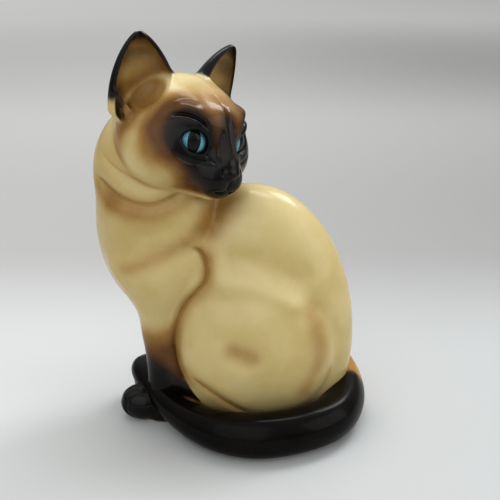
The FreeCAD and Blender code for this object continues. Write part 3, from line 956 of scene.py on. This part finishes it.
# ---------------------------------------------------------------- studio
def build_floor():
    """A pale floor that runs far back, with painted light and shade: lighter on the left than the right,
    darkest just behind where it stands for the backdrop, and paler again far off.
    """
    half = 12.0
    mesh = bpy.data.meshes.new("floor")
    corners = [(-half, -half, 0), (half, -half, 0), (half, half, 0), (-half, half, 0)]
    mesh.from_pydata(corners, [], [(0, 1, 2, 3)])
    n = Nodes("floor_paper")
    place = n.add("ShaderNodeSeparateXYZ")
    n.link(n.add("ShaderNodeTexCoord").outputs["Object"], place.inputs[0])
    far = n.step(place.outputs["Y"], 0.08, 0.36)
    # painted light: the floor lighter on the left, darker on the right
    painted_light_lean = n.step(place.outputs["X"], -0.3, 0.3)
    pale = n.mix(painted_light_lean, (0.62, 0.635, 0.64, 1), (0.455, 0.47, 0.475, 1))
    pale = n.mix(n.math("MULTIPLY", n.step(n.noise(2.0, 2), 0.3, 0.7), 0.3), pale, (0.50, 0.515, 0.52, 1))
    # painted light and shade on the part that stands for the backdrop: lighter on the left, darker on the
    # right, darkest near and paler far off
    across = n.step(place.outputs["X"], -0.6, 0.9)
    wall = n.mix(across, (0.46, 0.46, 0.46, 1), (0.24, 0.24, 0.24, 1))
    backdrop = n.mix(across, (0.60, 0.60, 0.595, 1), (0.37, 0.37, 0.37, 1))
    wall = n.mix(n.step(place.outputs["Y"], 0.4, 1.4), wall, backdrop)
    distant = n.mix(n.step(place.outputs["X"], -4.0, 6.0), (0.78, 0.78, 0.77, 1), (0.56, 0.56, 0.56, 1))
    wall = n.mix(n.step(place.outputs["Y"], 1.2, 6.0), wall, distant)
    n.link(n.mix(far, pale, wall), n.shader.inputs["Base Color"])
    n.gloss(0.6, coat=0.0, specular=0.25)
    mesh.materials.append(n.material)
    floor = bpy.data.objects.new("floor", mesh)
    bpy.context.scene.collection.objects.link(floor)


def aim(thing, target):
    """Turns a lamp or camera so that it looks at the target."""
    back = unit(np.array(thing.location)-target)
    thing.rotation_mode = "QUATERNION"
    thing.rotation_quaternion = Vector(back).to_track_quat("Z", "Y")


def softbox(name, place, width, height, power, tint=(1, 1, 1)):
    data = bpy.data.lights.new(name, "AREA")
    data.shape, data.size, data.size_y, data.energy, data.color = "RECTANGLE", width, height, power, tint
    lamp = bpy.data.objects.new(name, data)
    lamp.location = place
    bpy.context.scene.collection.objects.link(lamp)
    aim(lamp, vec(0, 0, 0.12))


def build_light():
    """A bright ceiling that dims to the horizon, a window high on the right, a strip overhead, two fills."""
    softbox("window", (1.0, 0.95, 1.5), 0.6, 0.75, 13.0)
    softbox("overhead", (0.05, 0.3, 1.25), 0.9, 0.3, 5.0)
    softbox("front_fill", (-0.7, -1.6, 1.1), 2.6, 2.0, 13.0)
    softbox("side_fill", (1.8, -0.5, 0.8), 1.6, 1.2, 9.0)
    world = bpy.data.worlds.new("studio")
    world.use_nodes = True
    tree = world.node_tree
    height = tree.nodes.new("ShaderNodeSeparateXYZ")
    ramp = tree.nodes.new("ShaderNodeMapRange")
    tree.links.new(tree.nodes.new("ShaderNodeTexCoord").outputs["Generated"], height.inputs[0])
    tree.links.new(height.outputs["Z"], ramp.inputs["Value"])
    for name, value in (("From Min", 0.0), ("From Max", 0.75), ("To Min", 0.14), ("To Max", 0.95)):
        ramp.inputs[name].default_value = value
    background = tree.nodes["Background"]
    background.inputs["Color"].default_value = (1.0, 1.0, 0.99, 1)
    tree.links.new(ramp.outputs[0], background.inputs["Strength"])
    bpy.context.scene.world = world
    bpy.context.scene.view_settings.view_transform = "Standard"
    bpy.context.scene.view_settings.gamma = 0.88


CAMERA_PLACE, CAMERA_TARGET = vec(14, -500, 278), vec(14, 0, 112)
SENSOR_WIDTH = 36
FOCAL_LENGTH = 1.634*SENSOR_WIDTH


def build_camera():
    data = bpy.data.cameras.new("camera")
    data.lens, data.sensor_width = FOCAL_LENGTH, SENSOR_WIDTH
    data.clip_start, data.clip_end = 0.01, 50
    camera = bpy.data.objects.new("camera", data)
    camera.location = (CAMERA_PLACE+SHIFT)*MM
    bpy.context.scene.collection.objects.link(camera)
    aim(camera, (CAMERA_TARGET+SHIFT)*MM)
    bpy.context.scene.camera = camera


build_skin(glaze())
enamel = eye_enamel()
for node, side in (("left_eye", 1), ("right_eye", -1)):
    build_eye(node, side, enamel)
build_tail(black_glaze())
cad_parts["base_plate"].data.materials.clear()
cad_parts["base_plate"].data.materials.append(bare_clay())
build_floor()
build_light()
build_camera()
